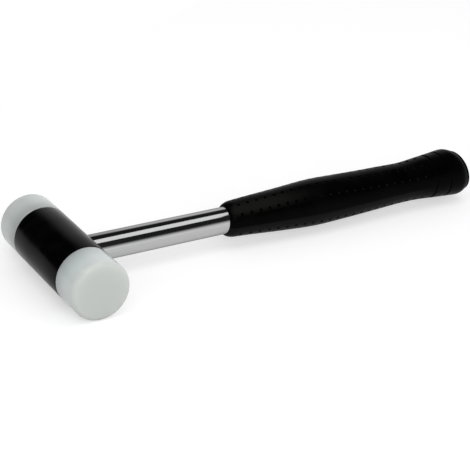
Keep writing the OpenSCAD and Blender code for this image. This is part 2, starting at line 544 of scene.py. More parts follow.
@dataclass(frozen=True)
class BrightChrome:
    """Polished chrome plate with faint lines along the tube from polishing."""

    colour: Colour = (0.475, 0.48, 0.475)
    cloud_colour: Colour = (0.445, 0.45, 0.445)
    edge_tint: Colour = (0.45, 0.45, 0.45)
    roughness: float = 0.08
    roughness_swing: Range = (0.02, 0.03)
    line_per_metre: float = 2200.0
    line_stretch: float = 0.02
    wave_per_metre: float = 60.0
    wave_depth: float = 0.004 * MM

    def made(self) -> bpy.types.Material:
        """Makes the material.

        Returns:
            The chrome of the tube.
        """
        recipe = Recipe("bright_chrome")
        spot = recipe.placed(Vector(), Vector((self.line_stretch, 1.0, 1.0)))
        lines = recipe.noise(self.line_per_metre, detail=3.0, spot=spot)
        recipe.set(
            base_color=recipe.stained(lines, self.colour, self.cloud_colour, CLOUD_RANGE),
            metallic=1.0,
            specular_tint=self.edge_tint,
            roughness=recipe.rough(lines, self.roughness, self.roughness_swing),
            normal=recipe.bump(recipe.noise(self.wave_per_metre, detail=1.0), self.wave_depth),
        )
        return recipe.material


@dataclass(frozen=True)
class BlackVinyl:
    """Dipped black vinyl with a fine moulded grain.

    It has a painted sheen along a stripe on its upper side, painted floor light along its underside and
    painted highlights in the dimples towards its end.

    Attributes:
        axis: Point of the handle's axis that places along the grip are counted from.
        mouth: Place and radius of the mouth of the grip.
        belly: Place and radius of its belly.
    """

    axis: Vector
    mouth: Range
    belly: Range
    colour: Colour = (0.0006, 0.0006, 0.0007)
    dusty_colour: Colour = (0.0016, 0.0016, 0.0015)
    cloud_per_metre: float = 55.0
    # painted sheen: a paler stripe on the upper side, from the mouth to the belly, stands in for the sheen of
    # the lamp above
    painted_sheen_colour: Colour = (0.0082, 0.0082, 0.0072)
    sheen_turn: float = 55.0
    sheen_fades: Range = (0.87, 0.99)
    sheen_ends: Range = (130.0 * MM, 172.0 * MM)
    # painted floor light: a paler band along the underside stands in for light from the floor below
    painted_floor_light_colour: Colour = (0.0076, 0.0076, 0.0086)
    floor_light_fades: Range = (-0.2, -0.08)
    floor_light_ends: Range = (236.0 * MM, 262.0 * MM)
    # painted highlights: the bottoms of the dimples turn paler towards the end of the grip, standing in for
    # light caught in the pits
    pit_highlight_colour: Colour = (0.012, 0.012, 0.012)
    pit_highlight_fades: Range = (158.0 * MM, 180.0 * MM)
    specular: float = 0.02
    roughness: float = 0.34
    roughness_swing: Range = (0.05, 0.06)
    grain_per_metre: float = 2600.0
    grain_depth: float = 0.012 * MM

    def painted_sheen(self, recipe: Recipe, spot: Socket, place: Socket) -> Socket:
        """How far the painted sheen reaches: most along a stripe on the upper side, from the mouth to the
        belly.

        Args:
            recipe: Node tree of the finish.
            spot: Coordinates from the handle's axis.
            place: Place along the handle.

        Returns:
            A share from 0 to 1.
        """
        turn = math.radians(self.sheen_turn)
        reach = recipe.vector("DOT_PRODUCT", spot, (0.0, -math.cos(turn), math.sin(turn)))
        inputs = {"Value": place, "From Min": self.mouth[0], "From Max": self.belly[0],
                  "To Min": self.mouth[1], "To Max": self.belly[1]}
        radius = recipe.node("ShaderNodeMapRange", inputs).outputs[0]
        stripe = recipe.spread(recipe.math("DIVIDE", reach, radius), *self.sheen_fades, 0.0, 1.0)
        return recipe.product(stripe, recipe.spread(place, *self.sheen_ends, 1.0, 0.0))

    def painted_floor_light(self, recipe: Recipe, spot: Socket, place: Socket) -> Socket:
        """How far the painted floor light reaches: along the underside that faces the floor, up to the ring
        grooves.

        Args:
            recipe: Node tree of the finish.
            spot: Coordinates from the handle's axis.
            place: Place along the handle.

        Returns:
            A share from 0 to 1.
        """
        across = recipe.vector("MULTIPLY", spot, (0.0, 1.0, 1.0))
        rise = recipe.parts(recipe.vector("NORMALIZE", across))[2]
        under = recipe.spread(rise, *self.floor_light_fades, 1.0, 0.0)
        return recipe.product(under, recipe.spread(place, *self.floor_light_ends, 1.0, 0.0))

    def made(self) -> bpy.types.Material:
        """Makes the material.

        Returns:
            The vinyl of the grip.
        """
        recipe = Recipe("black_vinyl")
        spot = recipe.placed(self.axis)
        place = recipe.parts(spot)[0]
        cloud = recipe.noise(self.cloud_per_metre, detail=3.0)
        dusty = recipe.stained(cloud, self.colour, self.dusty_colour)
        # painted sheen over the dusty colour
        painted_sheen = recipe.blend(self.painted_sheen(recipe, spot, place), dusty, self.painted_sheen_colour)
        pit = recipe.node("ShaderNodeAttribute", {}, attribute_name=PIT_MARK).outputs["Fac"]
        # painted highlights in the dimples, growing towards the end of the grip
        pit_highlight_tone = recipe.blend(recipe.spread(place, *self.pit_highlight_fades, 0.0, 1.0), self.colour, self.pit_highlight_colour)
        pitted = recipe.blend(pit, painted_sheen, pit_highlight_tone)
        recipe.set(
            # painted floor light along the underside
            base_color=recipe.blend(self.painted_floor_light(recipe, spot, place), pitted, self.painted_floor_light_colour),
            roughness=recipe.rough(cloud, self.roughness, self.roughness_swing),
            normal=recipe.bump(recipe.noise(self.grain_per_metre, detail=3.0), self.grain_depth),
            specular_ior_level=self.specular,
        )
        return recipe.material


@dataclass(frozen=True)
class PlatedSteel:
    """Bare or zinc plated steel with fine tool marks."""

    name: str
    colour: Colour = (0.46, 0.46, 0.45)
    stain_colour: Colour = (0.36, 0.355, 0.34)
    cloud_per_metre: float = 260.0
    roughness: float = 0.3
    roughness_swing: Range = (0.06, 0.1)
    mark_per_metre: float = 1800.0
    mark_depth: float = 0.006 * MM

    def made(self) -> bpy.types.Material:
        """Makes the material.

        Returns:
            The steel of one kind of piece.
        """
        recipe = Recipe(self.name)
        cloud = recipe.noise(self.cloud_per_metre, detail=4.0)
        recipe.set(
            base_color=recipe.stained(cloud, self.colour, self.stain_colour),
            metallic=1.0,
            roughness=recipe.rough(cloud, self.roughness, self.roughness_swing),
            normal=recipe.bump(recipe.noise(self.mark_per_metre, detail=3.0), self.mark_depth),
        )
        return recipe.material


@dataclass(frozen=True)
class PlugPlastic:
    """Dark moulded polythene."""

    colour: Colour = (0.02, 0.02, 0.021)
    pale_colour: Colour = (0.032, 0.032, 0.033)
    cloud_per_metre: float = 300.0
    roughness: float = 0.5
    roughness_swing: Range = (0.05, 0.05)
    grain_per_metre: float = 2000.0
    grain_depth: float = 0.01 * MM

    def made(self) -> bpy.types.Material:
        """Makes the material.

        Returns:
            The plastic of the plug.
        """
        recipe = Recipe("plug_plastic")
        cloud = recipe.noise(self.cloud_per_metre, detail=3.0)
        recipe.set(
            base_color=recipe.blend(cloud, self.colour, self.pale_colour),
            roughness=recipe.rough(cloud, self.roughness, self.roughness_swing),
            normal=recipe.bump(recipe.noise(self.grain_per_metre), self.grain_depth),
        )
        return recipe.material


def dress(piece: bpy.types.Object, finish: bpy.types.Material, body: Body, slot: Slot, *nodes: str) -> None:
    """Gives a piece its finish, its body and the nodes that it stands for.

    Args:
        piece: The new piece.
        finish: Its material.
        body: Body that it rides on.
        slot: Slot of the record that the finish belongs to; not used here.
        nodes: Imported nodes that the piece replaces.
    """
    piece.data.materials.clear()
    piece.data.materials.append(finish)
    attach(piece, body.value)
    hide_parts(*nodes)
    LOG.info("%s: %d faces, rides on %s", piece.name, len(piece.data.polygons), body.value)


def dress_node(name: str, finish: bpy.types.Material) -> None:
    """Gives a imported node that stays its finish.

    Args:
        name: Name of the node.
        finish: Its material.
    """
    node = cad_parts[name]
    node.data.materials.clear()
    node.data.materials.append(finish)
    for face in node.data.polygons:
        face.material_index = 0
    LOG.info("%s: packed node, %s", name, finish.name)


def centre_of(node: str) -> Vector:
    """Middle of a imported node's box."""
    low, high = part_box(node)
    return (low + high) / 2.0


def radius_of(node: str) -> float:
    """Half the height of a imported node's box."""
    low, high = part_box(node)
    return (high.z - low.z) / 2.0


HEAD_CENTRE = centre_of("head_body")
HANDLE_LINE = Axle(HEAD_CENTRE, Vector((1, 0, 0)), Vector((0, -1, 0)), Vector((0, 0, 1)))


def end_line(end: End) -> Axle:
    """Axis of the head, pointing out of one of its ends."""
    return Axle(HEAD_CENTRE, Vector((0, end.value, 0)), Vector((-1, 0, 0)), Vector((0, 0, 1)))


@dataclass
class Head:
    """Turned steel head with its handle socket, pin hole, stud holes and washer recesses."""

    radius: float
    half: float
    tube_radius: float
    edge: float = 0.5 * MM
    edge_round: float = 0.15 * MM
    stud_hole_radius: float = 6.1 * MM
    pin_hole_radius: float = 2.52 * MM
    recess_radius: float = 10.8 * MM
    recess_depth: float = RECESS_DEPTH
    socket_wall: float = 1.7 * MM
    socket_depth: float = 10.0 * MM + SEAT_GAP
    socket_margin: float = 2.0 * MM
    cutter_reach: float = 5.0 * MM

    @classmethod
    def from_frame(cls) -> "Head":
        """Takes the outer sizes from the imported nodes."""
        low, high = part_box("head_body")
        return cls(radius_of("head_body"), (high.y - low.y) / 2.0, radius_of("handle_tube"))

    def half_outline(self) -> list[Knot]:
        """Outline of one end.

        Returns:
            Corners from beside the socket round the end to the pin hole.
        """
        floor = self.tube_radius + self.socket_wall
        return [
            Knot(self.tube_radius + self.socket_margin, self.radius),
            Knot(self.half - self.edge, self.radius, self.edge_round, steps=3),
            Knot(self.half, self.radius - self.edge, self.edge_round, steps=3),
            Knot(self.half, self.recess_radius, self.edge_round),
            Knot(self.half - self.recess_depth, self.recess_radius),
            Knot(self.half - self.recess_depth, self.stud_hole_radius, self.edge_round),
            Knot(floor, self.stud_hole_radius),
            Knot(floor, self.pin_hole_radius),
        ]

    def build(self, finish: bpy.types.Material) -> None:
        """Turns the head, cuts its socket and dresses it.

        Args:
            finish: Material of the head.
        """
        rear = self.half_outline()
        front = [Knot(-k.place, k.radius, k.reach, k.steps) for k in reversed(rear)]
        turning = Turning(end_line(End.REAR), SMOOTH_SIDES)
        turning.turn(rear + front, closed=True)
        piece = turning.finished("head")
        self.cut_socket(piece)
        dress(piece, finish, Body.HAMMER, Slot.HEAD_BLACK, "head_body")

    def cut_socket(self, piece: bpy.types.Object) -> None:
        """Cuts the blind cross hole for the tube.

        Args:
            piece: The turned head.
        """
        hole = Turning(HANDLE_LINE)
        radius = self.tube_radius + SEAT_GAP
        beyond = self.radius + self.cutter_reach
        hole.turn([Knot(-self.socket_depth, 0.0), Knot(-self.socket_depth, radius),
                   Knot(beyond, radius), Knot(beyond, 0.0)])
        cutter = hole.finished("socket_cutter")
        cut = piece.modifiers.new("socket", "BOOLEAN")
        cut.object = cutter
        cut.operation = "DIFFERENCE"
        cut.solver = "EXACT"
        graph = bpy.context.evaluated_depsgraph_get()
        drilled = bpy.data.meshes.new_from_object(piece.evaluated_get(graph))
        piece.modifiers.clear()
        piece.data = drilled
        drilled.set_sharp_from_angle(angle=math.radians(SHARP_ANGLE))
        bpy.data.objects.remove(cutter)


@dataclass
class ScrewFace:
    """Nylon face with its threaded stud and the spring washer below it, at one end of the head.

    The thread's form is given in shares of its pitch and of its depth.
    """

    end: End
    radius: float
    back: float
    front: float
    strike_round: float = 2.5 * MM
    back_edge: float = 0.4 * MM
    back_round: float = 0.15 * MM
    bore_round: float = 0.3 * MM
    stud_radius: float = 6.0 * MM
    stud_sides: int = 64
    stud_sharp_angle: float = 35.0
    anchor_width: float = 19.0 * MM
    anchor_depth: float = 7.0 * MM
    anchor_cover: float = 4.0 * MM
    anchor_sides: int = 6
    recess_depth: float = RECESS_DEPTH
    pitch: float = 1.75 * MM
    thread_depth: float = 1.05 * MM
    thread_length: float = 14.0 * MM
    thread_form: tuple[Range, ...] = (
        (0.0, 0.0), (0.16, 0.0), (0.44, 1.0), (0.6, 1.0), (0.88, 0.0), (1.0, 0.0))
    thread_lead: float = 1.5
    thread_round: float = 0.1 * MM
    thread_steps: int = 48
    spare_turns: int = 2
    buried: float = 0.5 * MM
    pilot_length: float = 1.2 * MM
    pilot_radius: float = 4.85 * MM
    pilot_round: float = 0.5 * MM
    washer_radius: float = 10.5 * MM
    washer_bore: float = 6.15 * MM
    washer_depth: float = 2.5 * MM
    washer_round: float = 0.25 * MM
    washer_steps: int = 72
    washer_corner: float = 60.0
    slit: float = 1.2 * MM
    slit_slant: float = 25.0
    slit_fade: int = 8

    @classmethod
    def from_frame(cls, end: End) -> "ScrewFace":
        """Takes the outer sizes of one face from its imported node.

        Args:
            end: End of the head that the face is on.

        Returns:
            The face, with its stud and washer.
        """
        node = f"{end.label}_face"
        back, front = sorted(abs(corner.y - HEAD_CENTRE.y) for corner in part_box(node))
        return cls(end, radius_of(node), back, front)

    @property
    def line(self) -> Axle:
        """Axis of the head, pointing out of this face."""
        return end_line(self.end)

    @property
    def screw_body(self) -> Body:
        """Body of the face and its stud."""
        return Body(f"{self.end.label}_screw_face")

    @property
    def anchor_corner(self) -> float:
        """Distance of the hexagonal anchor's corners from the axis."""
        return self.anchor_width / math.sqrt(3.0)

    def build_face(self, finish: bpy.types.Material) -> None:
        """Turns the nylon around the room that its stud and anchor take.

        Args:
            finish: Material of the face.
        """
        cover = self.back + self.anchor_cover
        bore = self.stud_radius + SEAT_GAP
        room = self.anchor_corner + SEAT_GAP
        turning = Turning(self.line, SMOOTH_SIDES)
        turning.turn([
            Knot(cover + self.anchor_depth, 0.0),
            Knot(cover + self.anchor_depth, room),
            Knot(cover, room),
            Knot(cover, bore),
            Knot(self.back, bore, self.bore_round),
            Knot(self.back, self.radius - self.back_edge, self.back_round, steps=3),
            Knot(self.back + self.back_edge, self.radius, self.back_round, steps=3),
            Knot(self.front, self.radius, self.strike_round, steps=12),
            Knot(self.front, 0.0),
        ])
        piece = turning.finished(f"{self.end.label}_nylon_face")
        dress(piece, finish, self.screw_body, Slot.NYLON, f"{self.end.label}_face")

    def build_stud(self, finish: bpy.types.Material) -> None:
        """Turns the shank and pilot, winds the thread and adds the hexagonal anchor.

        Args:
            finish: Material of the stud.
        """
        thread_top = self.back - self.recess_depth
        thread_end = thread_top - self.thread_length
        cover = self.back + self.anchor_cover
        turning = Turning(self.line, self.stud_sides)
        turning.turn([
            Knot(thread_top - self.buried, 0.0),
            Knot(thread_top - self.buried, self.stud_radius - self.thread_depth),
            Knot(thread_top, self.stud_radius, self.thread_round),
            Knot(cover + self.buried, self.stud_radius),
            Knot(cover + self.buried, 0.0),
        ])
        turning.turn([
            Knot(thread_end - self.pilot_length, 0.0),
            Knot(thread_end - self.pilot_length, self.pilot_radius, self.pilot_round, steps=3),
            Knot(thread_end + self.buried, self.pilot_radius),
            Knot(thread_end + self.buried, 0.0),
        ])
        self.wind_thread(turning.mesh, thread_end, thread_top)
        self.add_anchor(turning.mesh, cover)
        piece = turning.finished(f"{self.end.label}_threaded_stud", self.stud_sharp_angle)
        dress(piece, finish, self.screw_body, Slot.STUD_STEEL, f"{self.end.label}_stud")

    def wind_thread(self, mesh: BMesh, low: float, high: float) -> None:
        """Winds one pitch of the thread into a helix and trims it flat at both ends.

        Args:
            mesh: Mesh that the thread is added to.
            low: Place where the thread ends.
            high: Place where the thread starts.
        """
        root = self.stud_radius - self.thread_depth
        start = low - self.thread_lead * self.pitch
        turns = math.ceil((high - low) / self.pitch) + self.spare_turns
        thread = Turning(self.line)
        edges = thread.wire([Knot(start + along * self.pitch, root + rise * self.thread_depth)
                             for along, rise in self.thread_form])
        corners = list({vert for edge in edges for vert in edge.verts})
        bmesh.ops.spin(thread.mesh, geom=corners + edges, cent=self.line.origin, axis=self.line.along,
                       dvec=self.line.along * (self.pitch / self.thread_steps), angle=math.tau * turns,
                       steps=self.thread_steps * turns, use_merge=False, use_duplicate=False)
        bmesh.ops.remove_doubles(thread.mesh, verts=thread.mesh.verts[:], dist=MERGE_GAP)
        for place, outwards in ((low, -1.0), (high, 1.0)):
            parts = thread.mesh.verts[:] + thread.mesh.edges[:] + thread.mesh.faces[:]
            bmesh.ops.bisect_plane(thread.mesh, geom=parts, plane_co=self.line.point(place),
                                   plane_no=self.line.along * outwards, clear_outer=True)
        rims = [edge for edge in thread.mesh.edges if edge.is_boundary]
        bmesh.ops.edgeloop_fill(thread.mesh, edges=rims)
        bmesh.ops.recalc_face_normals(thread.mesh, faces=thread.mesh.faces[:])
        data = bpy.data.meshes.new("thread")
        thread.mesh.to_mesh(data)
        thread.mesh.free()
        mesh.from_mesh(data)
        bpy.data.meshes.remove(data)

    def add_anchor(self, mesh: BMesh, cover: float) -> None:
        """Adds the hexagonal anchor inside the nylon.

        Args:
            mesh: Mesh that the anchor is added to.
            cover: Place where the anchor starts.
        """
        turns = [math.tau * i / self.anchor_sides for i in range(self.anchor_sides)]
        ring = [mesh.verts.new(self.line.point(cover, self.anchor_corner, turn)) for turn in turns]
        base = mesh.faces.new(ring)
        grown = bmesh.ops.extrude_face_region(mesh, geom=[base], use_keep_orig=True)
        tops = [item for item in grown["geom"] if isinstance(item, BMVert)]
        bmesh.ops.translate(mesh, verts=tops, vec=self.line.along * self.anchor_depth)
        faces = list({face for vert in ring + tops for face in vert.link_faces})
        bmesh.ops.recalc_face_normals(mesh, faces=faces)

    def build_washer(self, finish: bpy.types.Material) -> None:
        """Bends a square bar into the split washer and slants its slit.

        Args:
            finish: Material of the washer.
        """
        mesh = bmesh.new()
        half_slit = self.slit / (2.0 * self.washer_radius)
        below = self.back - self.washer_depth
        corners = [(below, self.washer_bore), (below, self.washer_radius),
                   (self.back, self.washer_radius), (self.back, self.washer_bore)]
        section = mesh.faces.new([mesh.verts.new(self.line.point(p, r, half_slit)) for p, r in corners])
        parts = list(section.verts) + list(section.edges) + [section]
        way = self.line.side.cross(self.line.lift)
        bmesh.ops.spin(mesh, geom=parts, cent=self.line.origin, axis=way, angle=math.tau - 2.0 * half_slit,
                       steps=self.washer_steps, use_merge=False, use_duplicate=False)
        bmesh.ops.remove_doubles(mesh, verts=mesh.verts[:], dist=MERGE_GAP)
        bmesh.ops.recalc_face_normals(mesh, faces=mesh.faces[:])
        slant = math.tan(math.radians(self.slit_slant))
        middle = self.back - self.washer_depth / 2.0
        for vert in mesh.verts:
            height = self.line.place_of(vert.co) - middle
            turn = self.line.turn_of(vert.co) % math.tau
            fade = abs(math.cos(turn / 2.0)) ** self.slit_fade
            twist = Quaternion(way, height * slant / self.washer_radius * fade)
            vert.co = self.line.origin + twist @ (vert.co - self.line.origin)
        edges = [edge for edge in mesh.edges if edge.calc_face_angle(0.0) > math.radians(self.washer_corner)]
        bmesh.ops.bevel(mesh, geom=edges, offset=self.washer_round, offset_type="OFFSET", segments=2,
                        profile=0.5, affect="EDGES", material=-1)
        label = self.end.label
        piece = object_from(mesh, f"{label}_spring_washer")
        dress(piece, finish, Body(f"{label}_washer"), Slot.WASHER_STEEL, f"{label}_lock_washer")


@dataclass
class Tube:
    """Chromed tube from the bottom of the socket to the plug."""

    start: float
    end: float
    radius: float
    wall: float = 1.6 * MM
    edge: float = 0.3 * MM
    sides: int = 128

    @classmethod
    def from_frame(cls) -> "Tube":
        """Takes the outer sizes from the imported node."""
        start, end = (HANDLE_LINE.place_of(corner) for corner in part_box("handle_tube"))
        return cls(start, end, radius_of("handle_tube"))

    def build(self, finish: bpy.types.Material) -> None:
        """Turns the tube and dresses it.

        Args:
            finish: Material of the tube.
        """
        inner = self.radius - self.wall
        corners = ((self.start, inner), (self.start, self.radius), (self.end, self.radius), (self.end, inner))
        turning = Turning(HANDLE_LINE, self.sides)
        turning.turn([Knot(place, radius, self.edge) for place, radius in corners], closed=True)
        dress(turning.finished("chromed_tube"), finish, Body.HAMMER, Slot.TUBE_CHROME, "handle_tube")


@dataclass
class Grip:
    """Vinyl grip with its dimples, ring grooves and slightly leaning end disc.

    Stations along the grip are places from the axis of the head, and each has its radius. The points of
    the lip are in millimetres, past the mouth and out from the axis. The walls of a dimple are given from
    its rim to its bottom, each in shares of its radius and of its depth.
    """

    mouth_at: float
    end_at: float
    bore: float
    mouth_radius: float = 10.7 * MM
    lip: tuple[Range, ...] = ((0.25, 9.0), (1.0, 9.72), (2.1, 10.32), (3.6, 10.76))
    belly_at: float = 168.0 * MM
    belly_radius: float = 14.85 * MM
    belly_blend: float = 9.0 * MM
    waist_at: float = 240.0 * MM
    waist_radius: float = 12.7 * MM
    waist_blend: float = 8.0 * MM
    flare_at: float = 279.0 * MM
    flare_radius: float = 15.95 * MM
    flare_blend: float = 4.0 * MM
    disc_at: float = 282.2 * MM
    disc_radius: float = 13.4 * MM
    disc_step: float = 0.5 * MM
    disc_slope: float = 0.25 * MM
    disc_edge: float = 0.72 * MM
    disc_rounds: Range = (0.1 * MM, 0.15 * MM)
    dome_rise: float = 1.15 * MM
    dome_shares: tuple[float, ...] = (0.85, 0.6, 0.3, 0.0)
    end_wall: float = 12.5 * MM
    bore_margin: float = 1.0 * MM
    bore_rounds: Range = (0.2 * MM, 0.25 * MM)
    groove_at: Range = (257.1 * MM, 267.0 * MM)
    groove_depth: float = 0.65 * MM
    groove_half: float = 0.85 * MM
    groove_floor: float = 0.2975 * MM
    groove_margin: float = 0.6 * MM
    groove_rounds: Range = (0.2 * MM, 0.1 * MM)
    past_grooves: Range = (5.0 * MM, 3.0 * MM)
    columns: int = 50
    columns_per_row: int = 5
    bare_rows: tuple[int, int] = (0, 5)
    grid_slack: float = 0.05
    first_dimple: float = 112.8 * MM
    dimple_step: float = 6.2 * MM
    dimple_count: int = 23
    dimple_radius: float = 1.28 * MM
    dimple_depth: float = 1.3 * MM
    dimple_walls: tuple[Range, ...] = ((0.12, 0.1), (0.16, 0.5), (0.3, 0.4))
    twist_mouth: float = -2.0
    twist_belly: float = 4.0
    twist_end: float = -9.0
    twist_turns_at: float = 153.0 * MM
    mouth_back: float = 0.5 * MM
    mouth_lean: float = -4.5
    mouth_settles: float = 16.0 * MM
    end_lean: float = 10.8
    end_lift: float = 0.45 * MM
    end_lifts: Range = (234.0 * MM, 254.0 * MM)
    sag: float = 0.4 * MM
    sag_starts: Range = (112.0 * MM, 150.0 * MM)
    sag_ends: Range = (195.0 * MM, 235.0 * MM)
    end_leans_from: float = 258.0 * MM
    soft_wall: float = 1.5 * MM
    lean_way: Vector = Vector((0.0, -0.498, -0.867))
    sharp_angle: float = 180.0

    @classmethod
    def from_frame(cls) -> "Grip":
        """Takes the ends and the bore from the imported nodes."""
        mouth_at, end_at = (HANDLE_LINE.place_of(corner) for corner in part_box("grip"))
        return cls(mouth_at, end_at, radius_of("handle_tube") + SEAT_GAP)

    def radius_at(self, place: float) -> float:
        """Radius of the tapers between the mouth and the flare, with their blends.

        Args:
            place: Place along the handle.

        Returns:
            The radius there.
        """
        stations = [(self.mouth_at, self.mouth_radius), (self.belly_at, self.belly_radius),
                    (self.waist_at, self.waist_radius), (self.flare_at, self.flare_radius)]
        slopes = [(b[1] - a[1]) / (b[0] - a[0]) for a, b in zip(stations, stations[1:])]
        bends = ((self.belly_at, self.belly_blend), (self.waist_at, self.waist_blend))
        radius = self.mouth_radius + slopes[0] * (place - self.mouth_at)
        for (at, blend), before, after in zip(bends, slopes, slopes[1:]):
            past = min(max(place - at + blend, 0.0), 2.0 * blend)
            radius += (after - before) * (past * past / (4.0 * blend) + max(place - at - blend, 0.0))
        return radius

    def groove(self, at: float) -> list[Knot]:
        """Outline of one ring groove.

        Args:
            at: Place of its middle.

        Returns:
            Its corners, with one on the plain grip on either side.
        """
        edge_round, floor_round = self.groove_rounds
        margin = self.groove_half + self.groove_margin
        bottom = self.radius_at(at) - self.groove_depth
        plain, edge = ([(at + side * reach, self.radius_at(at + side * reach)) for side in (-1, 1)]
                       for reach in (margin, self.groove_half))
        return [
            Knot(*plain[0]),
            Knot(*edge[0], edge_round),
            Knot(at - self.groove_floor, bottom, floor_round),
            Knot(at + self.groove_floor, bottom, floor_round),
            Knot(*edge[1], edge_round),
            Knot(*plain[1]),
        ]

    def outline(self) -> list[Knot]:
        """Outline of the whole grip.

        Returns:
            Corners from the bottom of the bore, out of the mouth and along the outside to the end disc.
        """
        floor = self.end_at - self.end_wall
        floor_round, mouth_round = self.bore_rounds
        ring_step = self.dimple_step / 2.0
        rings = [self.first_dimple + (i - 1) * ring_step for i in range(2 * self.dimple_count + 1)]
        knots = [
            Knot(floor, 0.0),
            Knot(floor, self.bore - self.bore_margin),
            Knot(floor, self.bore, floor_round),
            Knot(floor - self.bore_margin, self.bore),
            Knot((floor + self.mouth_at) / 2.0, self.bore),
            Knot(self.mouth_at + self.bore_margin, self.bore),
            Knot(self.mouth_at, self.bore, mouth_round),
        ]
        knots += [Knot(self.mouth_at + ahead * MM, radius * MM) for ahead, radius in self.lip]
        knots += [Knot(place, self.radius_at(place)) for place in rings]
        for at, past in zip(self.groove_at, self.past_grooves):
            knots += self.groove(at) + [Knot(at + past, self.radius_at(at + past))]
        dome_at = self.disc_at + self.disc_edge
        step_round, dome_round = self.disc_rounds
        knots += [
            Knot(self.flare_at, self.flare_radius, self.flare_blend, steps=8),
            Knot(self.disc_at, self.disc_radius - self.disc_step, step_round),
            Knot(self.disc_at + self.disc_slope, self.disc_radius, step_round),
            Knot(dome_at, self.disc_radius, dome_round),
        ]
        knots += [Knot(dome_at + self.dome_rise * (1.0 - share * share), self.disc_radius * share)
                  for share in self.dome_shares]
        return knots

    def twist_at(self, place: float) -> float:
        """Turn of the rows of dimples on the pushed-on grip.

        Args:
            place: Place along the handle.

        Returns:
            The turn there, in radians.
        """
        rise = smooth_step(place, self.mouth_at, self.twist_turns_at)
        fall = smooth_step(place, self.twist_turns_at, self.groove_at[0])
        degrees = self.twist_mouth + (self.twist_belly - self.twist_mouth) * rise
        return math.radians(degrees + (self.twist_end - self.twist_belly) * fall)

    def dimple_centres(self, mesh: BMesh) -> list[BMVert]:
        """Corners of the grid that a dimple is made at.

        Args:
            mesh: Mesh of the turned grip.

        Returns:
            The corners on the outside of the grip.
        """
        rows = self.columns // self.columns_per_row
        chosen = []
        for vert in mesh.verts:
            place = HANDLE_LINE.place_of(vert.co)
            number = (place - self.first_dimple) / self.dimple_step
            row = HANDLE_LINE.turn_of(vert.co) / math.tau * rows
            on_grid = all(abs(count - round(count)) < self.grid_slack for count in (number, row))
            pitted = 0 <= round(number) < self.dimple_count and round(row) % rows not in self.bare_rows
            outside = (vert.co - HANDLE_LINE.point(place)).length > self.bore + self.bore_margin
            if on_grid and pitted and outside:
                chosen.append(vert)
        return chosen

    def press_dimples(self, mesh: BMesh) -> None:
        """Opens each dimple's corner to a round face, presses it in and marks its bottom.

        Args:
            mesh: Mesh of the turned grip.
        """
        mark = mesh.verts.layers.float.new(PIT_MARK)
        made = bmesh.ops.bevel(mesh, geom=self.dimple_centres(mesh), offset=self.dimple_radius,
                               offset_type="OFFSET", segments=3, profile=0.5, affect="VERTICES", material=-1)
        pits: list[BMFace] = bmesh.ops.dissolve_faces(mesh, faces=made["faces"])["region"]
        mesh.normal_update()
        for pit in pits:
            self.round_off(pit)
        for inwards, depth in self.dimple_walls:
            bmesh.ops.inset_individual(mesh, faces=pits, thickness=self.dimple_radius * inwards,
                                       depth=-self.dimple_depth * depth, use_even_offset=True)
        for vert in {vert for pit in pits for vert in pit.verts}:
            vert[mark] = 1.0

    def round_off(self, pit: BMFace) -> None:
        """Moves the corners of a dimple's face onto a circle, from its farthest corner on.

        Args:
            pit: The face.
        """
        centre = pit.calc_center_median()
        corners = list(pit.verts)
        lead = max(range(len(corners)), key=lambda i: (corners[i].co - centre).length)
        reach = (corners[lead].co - centre).normalized() * self.dimple_radius
        for step in range(len(corners)):
            turn = Quaternion(pit.normal, math.tau * step / len(corners))
            corners[(lead + step) % len(corners)].co = centre + turn @ reach

    def drop_at(self, place: float, radius: float) -> float:
        """How far the outside of the grip lies off the axis of the tube, which its bore follows.

        Args:
            place: Place along the handle.
            radius: Distance from the axis.

        Returns:
            The distance in the direction that the grip leans.
        """
        sag = self.sag * smooth_step(place, *self.sag_starts) * (1.0 - smooth_step(place, *self.sag_ends))
        lift = self.end_lift * smooth_step(place, *self.end_lifts)
        outer = 1.0 if place > self.disc_at else smooth_step(radius, self.bore, self.bore + self.soft_wall)
        return (sag - lift) * outer

    def settle(self, mesh: BMesh) -> None:
        """Twists the rows of dimples and leans the mouth and the end, as on the pushed-on grip.

        Args:
            mesh: Mesh of the grip with its dimples.
        """
        inside = self.bore - self.bore_margin / 2.0
        for vert in mesh.verts:
            place = HANDLE_LINE.place_of(vert.co)
            middle = HANDLE_LINE.point(place)
            offset = Quaternion(HANDLE_LINE.along, -self.twist_at(place)) @ (vert.co - middle)
            vert.co = middle + offset
            if offset.length > inside or place > self.disc_at:
                mouth = 1.0 - smooth_step(place, self.mouth_at, self.mouth_at + self.mouth_settles)
                end = smooth_step(place, self.end_leans_from, self.flare_at - self.flare_blend)
                lean = math.radians(self.mouth_lean * mouth + self.end_lean * end)
                ahead = offset.dot(self.lean_way) * math.tan(lean) - self.mouth_back * mouth
                vert.co += HANDLE_LINE.along * ahead
                vert.co += self.lean_way * self.drop_at(place, offset.length)

    def build(self, finish: bpy.types.Material) -> None:
        """Turns the grip, presses its dimples and dresses it.

        Args:
            finish: Material of the grip.
        """
        turning = Turning(HANDLE_LINE, self.columns)
        turning.turn(self.outline())
        self.press_dimples(turning.mesh)
        self.settle(turning.mesh)
        piece = turning.finished("dimpled_grip", self.sharp_angle)
        smooth = piece.modifiers.new("smooth", "SUBSURF")
        smooth.levels = 1
        smooth.render_levels = 1
        dress(piece, finish, Body.HAMMER, Slot.GRIP_VINYL, "grip")


